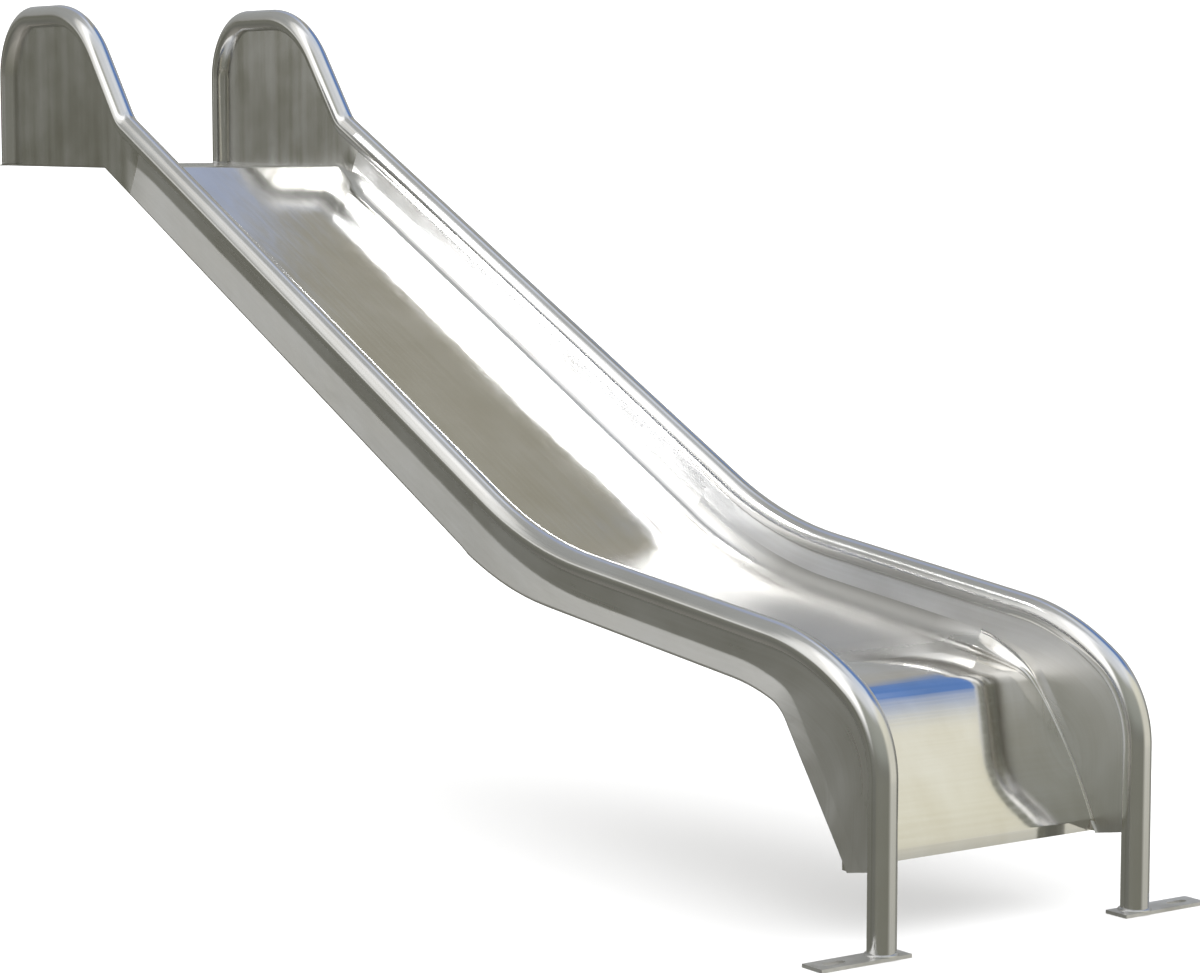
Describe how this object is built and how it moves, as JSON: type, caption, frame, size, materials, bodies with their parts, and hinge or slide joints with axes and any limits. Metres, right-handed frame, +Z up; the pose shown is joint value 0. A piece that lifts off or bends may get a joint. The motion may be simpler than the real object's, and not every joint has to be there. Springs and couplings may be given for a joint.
{
  "type": "wave slide",
  "caption": "Straight stainless steel play slide with a steep slope that levels out, tube rims bent down into front legs, and hoop-shaped sides at the deck.",
  "frame": {"origin": "centre of the underside of the deck lip, where the slide rests on the platform", "axes": "+X across the slide towards its right side as seen from the foot, +Y from the foot up to the platform, +Z up"},
  "size_m": [0.8302, 3.2399, 1.5791],
  "materials": {
    "rim_steel": "polished stainless tube with fine lengthwise grain",
    "bed_steel": "worn, near-mirror stainless sheet with faint scratches along the slide",
    "panel_steel": "satin stainless sheet",
    "foot_steel": "dull, weathered flat bar",
    "hidden_steel": "unpolished mill finish"
  },
  "bodies": {
    "root": {"runout_bed": "bed_steel", "slope_bed": "bed_steel", "end_plate": "bed_steel", "deck_plate": "bed_steel", "left_leg": "rim_steel", "left_runout_rail": "rim_steel", "left_slope_rail": "rim_steel", "left_hoop": "rim_steel", "left_hoop_cap": "rim_steel", "left_nose_panel": "panel_steel", "left_runout_panel": "panel_steel", "left_slope_panel": "panel_steel", "left_hoop_panel": "panel_steel", "left_leg_sleeve": "hidden_steel", "left_runout_sleeve": "hidden_steel", "left_slope_sleeve": "hidden_steel", "left_foot_plate": "foot_steel", "right_leg": "rim_steel", "right_runout_rail": "rim_steel", "right_slope_rail": "rim_steel", "right_hoop": "rim_steel", "right_hoop_cap": "rim_steel", "right_nose_panel": "panel_steel", "right_runout_panel": "panel_steel", "right_slope_panel": "panel_steel", "right_hoop_panel": "panel_steel", "right_leg_sleeve": "hidden_steel", "right_runout_sleeve": "hidden_steel", "right_slope_sleeve": "hidden_steel", "right_foot_plate": "foot_steel", "cross_bar_1": "hidden_steel", "cross_bar_2": "hidden_steel", "cross_bar_3": "hidden_steel", "cross_bar_4": "hidden_steel", "cross_bar_5": "hidden_steel"}
  },
  "joints": []
}
